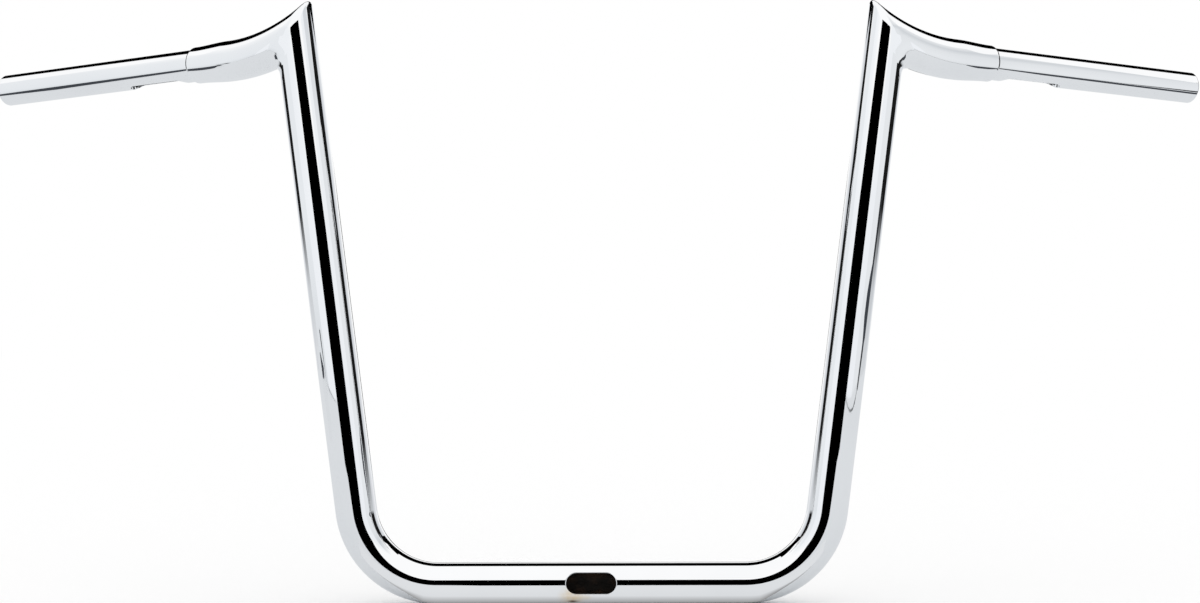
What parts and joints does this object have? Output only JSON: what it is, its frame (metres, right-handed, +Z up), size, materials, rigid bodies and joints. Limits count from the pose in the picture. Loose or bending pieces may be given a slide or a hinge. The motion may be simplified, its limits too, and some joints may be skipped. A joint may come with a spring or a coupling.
{
  "type": "ape hanger handlebar",
  "caption": "Chromed pointed-top ape hanger handlebar: a tall tube U with mitred, swept-back arms, slim control ends and slots for inside wiring.",
  "frame": {"origin": "middle of the base bar, on its axis, where the clamps hold it", "axes": "+X to the rider's left, +Y back towards the rider, +Z up; the base slot faces -Y"},
  "size_m": [1.0008, 0.1682, 0.4619],
  "materials": {
    "chromed_tube": "polished chrome plating on steel tube, bare dark steel inside the bores"
  },
  "bodies": {
    "root": {"riser_tube": "chromed_tube", "left_arm": "chromed_tube", "right_arm": "chromed_tube", "left_grip_tube": "chromed_tube", "right_grip_tube": "chromed_tube"}
  },
  "joints": []
}
